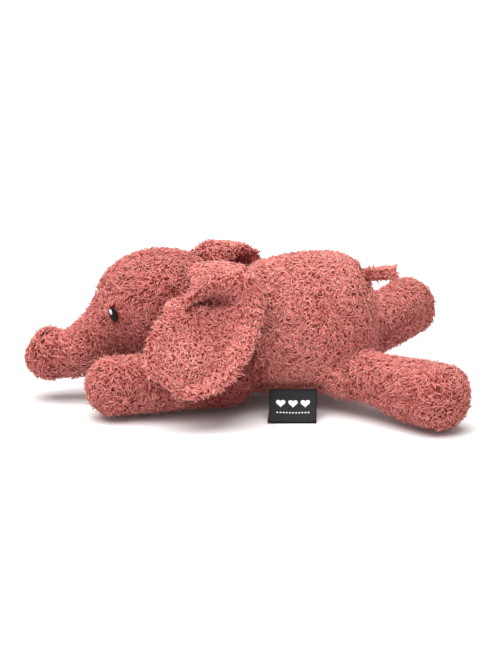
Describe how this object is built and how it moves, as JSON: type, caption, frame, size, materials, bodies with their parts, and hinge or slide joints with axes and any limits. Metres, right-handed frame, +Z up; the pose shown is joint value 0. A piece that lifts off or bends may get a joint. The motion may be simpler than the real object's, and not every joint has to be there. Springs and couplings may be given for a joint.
{
  "type": "stuffed elephant",
  "caption": "Lying plush elephant in curly teddy fabric with a curled-up trunk, big floppy ears, stuffed legs and a small tail.",
  "frame": {"origin": "centre of the toy's bounding box, on the surface it lies on", "axes": "+Z up; the head points along -X and the left side of the toy faces -Y"},
  "size_m": [0.2896, 0.2138, 0.1051],
  "materials": {
    "plush": "curly dusty-rose teddy pile",
    "stuffing": "loose white polyester fibre",
    "black_thread": "black satin-stitch embroidery",
    "white_thread": "white satin-stitch embroidery",
    "satin": "black woven satin"
  },
  "bodies": {
    "torso": {"body_panel_left": "plush", "body_panel_right": "plush", "belly_panel": "plush", "body_stuffing": "stuffing"},
    "head": {"head_panel_left": "plush", "head_panel_right": "plush", "head_gusset": "plush", "chin_panel": "plush", "head_stuffing": "stuffing", "eye_left": "black_thread", "eye_left_highlight": "white_thread", "eye_right": "black_thread", "eye_right_highlight": "white_thread"},
    "trunk": {"trunk_nostril_disc": "plush", "trunk_panel_right": "plush", "trunk_panel_left": "plush", "trunk_stuffing": "stuffing"},
    "ear_left": {"ear_left_outer": "plush", "ear_left_lining": "plush"},
    "ear_right": {"ear_right_outer": "plush", "ear_right_lining": "plush"},
    "front_leg_left": {"front_leg_left_sole": "plush", "front_leg_left_upper_panel": "plush", "front_leg_left_under_panel": "plush", "front_leg_left_stuffing": "stuffing"},
    "front_leg_right": {"front_leg_right_sole": "plush", "front_leg_right_upper_panel": "plush", "front_leg_right_under_panel": "plush", "front_leg_right_stuffing": "stuffing"},
    "hind_leg_left": {"hind_leg_left_sole": "plush", "hind_leg_left_upper_panel": "plush", "hind_leg_left_under_panel": "plush", "hind_leg_left_stuffing": "stuffing"},
    "hind_leg_right": {"hind_leg_right_sole": "plush", "hind_leg_right_upper_panel": "plush", "hind_leg_right_under_panel": "plush", "hind_leg_right_stuffing": "stuffing"},
    "tail": {"tail_upper": "plush", "tail_under": "plush"},
    "woven_label": {"woven_label": "satin"}
  },
  "joints": [
    {"name": "neck_nod", "type": "hinge", "parent": "torso", "child": "head", "pos_m": [-0.02418, -0.00167, 0.06206], "axis": [0, 1, 0], "range_deg": [0, 15], "stiffness_Nm_per_rad": 0.25},
    {"name": "trunk_lift", "type": "hinge", "parent": "head", "child": "trunk", "pos_m": [-0.08718, -0.00167, 0.05506], "axis": [0, 1, 0], "range_deg": [-8, 28], "stiffness_Nm_per_rad": 0.12},
    {"name": "ear_left_flap", "type": "hinge", "parent": "head", "child": "ear_left", "pos_m": [-0.03118, -0.02867, 0.09106], "axis": [-1, 0, 0], "range_deg": [0, 60]},
    {"name": "ear_right_flap", "type": "hinge", "parent": "head", "child": "ear_right", "pos_m": [-0.03118, 0.02533, 0.09106], "axis": [1, 0, 0], "range_deg": [0, 60]},
    {"name": "front_leg_left_swing", "type": "hinge", "parent": "torso", "child": "front_leg_left", "pos_m": [-0.01418, -0.03467, 0.02406], "axis": [0, 0, 1], "range_deg": [-8, 7], "stiffness_Nm_per_rad": 0.06},
    {"name": "front_leg_right_swing", "type": "hinge", "parent": "torso", "child": "front_leg_right", "pos_m": [-0.01418, 0.03133, 0.02406], "axis": [0, 0, 1], "range_deg": [-7, 8], "stiffness_Nm_per_rad": 0.06},
    {"name": "hind_leg_left_swing", "type": "hinge", "parent": "torso", "child": "hind_leg_left", "pos_m": [0.06582, -0.02967, 0.02326], "axis": [0, 0, 1], "range_deg": [-18, 18], "stiffness_Nm_per_rad": 0.06},
    {"name": "hind_leg_right_swing", "type": "hinge", "parent": "torso", "child": "hind_leg_right", "pos_m": [0.06582, 0.02633, 0.03306], "axis": [0, 0, 1], "range_deg": [-18, 18], "stiffness_Nm_per_rad": 0.06},
    {"name": "tail_wag", "type": "hinge", "parent": "torso", "child": "tail", "pos_m": [0.07582, -0.00167, 0.08556], "axis": [0, 0, 1], "range_deg": [-30, 30], "stiffness_Nm_per_rad": 0.003},
    {"name": "label_fold", "type": "hinge", "parent": "torso", "child": "woven_label", "pos_m": [0.02982, -0.04587, 0.01826], "axis": [-1, 0, 0], "range_deg": [0, 45]}
  ]
}
